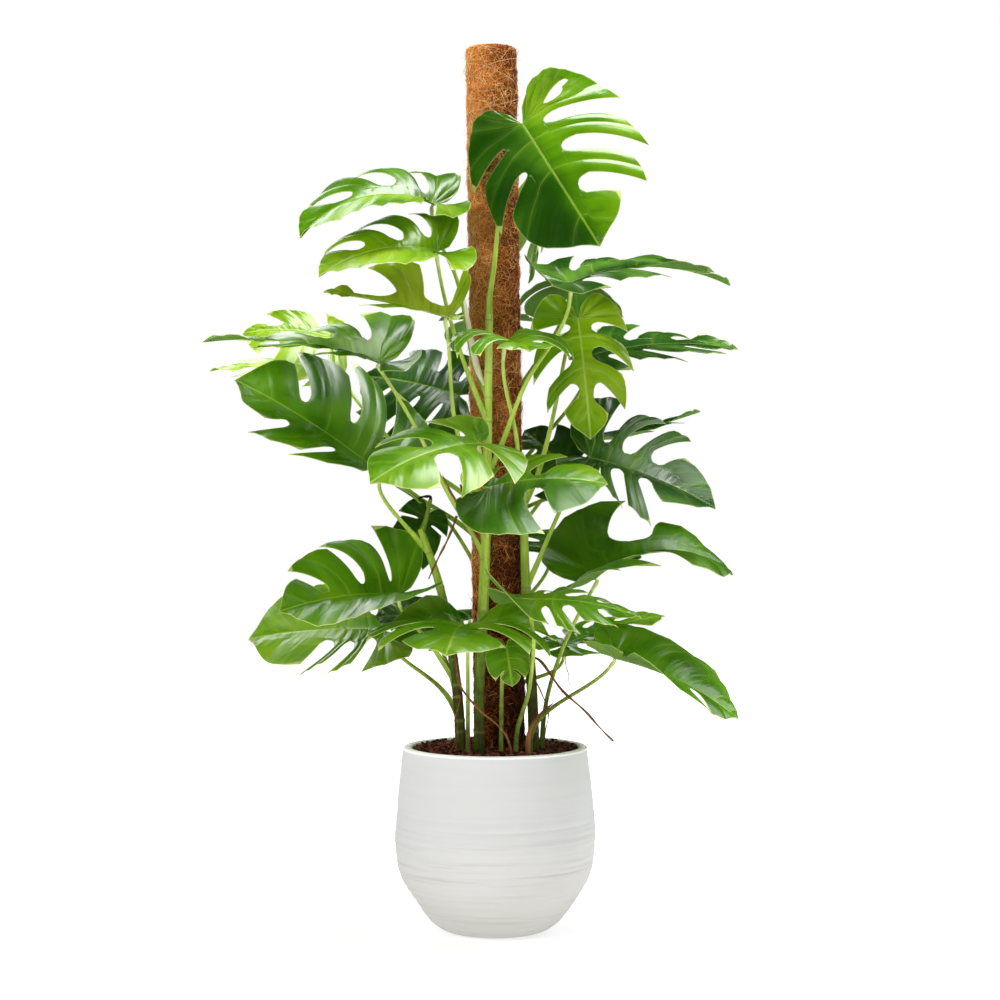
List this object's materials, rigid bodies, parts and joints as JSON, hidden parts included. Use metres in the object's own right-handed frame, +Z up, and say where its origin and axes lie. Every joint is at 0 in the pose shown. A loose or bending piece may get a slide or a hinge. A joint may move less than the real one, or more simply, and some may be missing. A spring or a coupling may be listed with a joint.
{
  "type": "potted swiss cheese plant",
  "caption": "Climbing swiss cheese plant with split leaves on a coir pole, standing in a round plaster pot of bark soil.",
  "frame": {"origin": "centre of the pot's flat underside", "axes": "+Z up along the pot's axis, -Y towards the plant's front, +X to its right"},
  "size_m": [0.9552, 0.7005, 1.4976],
  "materials": {
    "plaster": "matte white plaster with fine throwing rings",
    "soil": "loose dark bark and coir chips",
    "coir": "rough golden brown coconut fibre",
    "wood": "plain sawn wood",
    "stem_green": "smooth light green stalk",
    "root": "dry brown aerial root",
    "leaf_green": "glossy dark green leaf",
    "leaf_young": "glossy yellow green young leaf"
  },
  "bodies": {
    "root": {"pot": "plaster", "soil": "soil", "coir_pole": "coir", "pole_core": "wood", "stem_front": "stem_green", "stem_right": "stem_green", "stem_left": "stem_green", "stem_back": "stem_green", "stalk_of_leaf_right_06": "stem_green", "stalk_of_leaf_front_04": "stem_green", "stalk_of_leaf_front_05": "stem_green", "stalk_of_leaf_right_08": "stem_green", "stalk_of_leaf_front_06": "stem_green", "aerial_root_01": "root", "aerial_root_02": "root", "leaf_top": "leaf_green", "leaf_top_back": "leaf_green", "leaf_back_01": "leaf_green", "leaf_left_01": "leaf_green", "leaf_left_02": "leaf_green", "leaf_left_03": "leaf_young", "leaf_left_04": "leaf_green", "leaf_left_05": "leaf_young", "leaf_left_06": "leaf_green", "leaf_left_07": "leaf_green", "leaf_left_08": "leaf_green", "leaf_left_09": "leaf_green", "leaf_left_10": "leaf_green", "leaf_right_01": "leaf_green", "leaf_back_02": "leaf_green", "leaf_right_02": "leaf_young", "leaf_right_03": "leaf_green", "leaf_right_04": "leaf_green", "leaf_right_05": "leaf_green", "leaf_right_06": "leaf_green", "leaf_right_07": "leaf_green", "leaf_right_08": "leaf_green", "leaf_front_01": "leaf_green", "leaf_front_02": "leaf_green", "leaf_front_03": "leaf_green", "leaf_front_04": "leaf_young", "leaf_front_05": "leaf_green", "leaf_front_06": "leaf_green", "leaf_back_03": "leaf_green", "leaf_back_04": "leaf_green", "leaf_back_05": "leaf_green", "leaf_back_06": "leaf_green", "leaf_back_07": "leaf_green"}
  },
  "joints": []
}
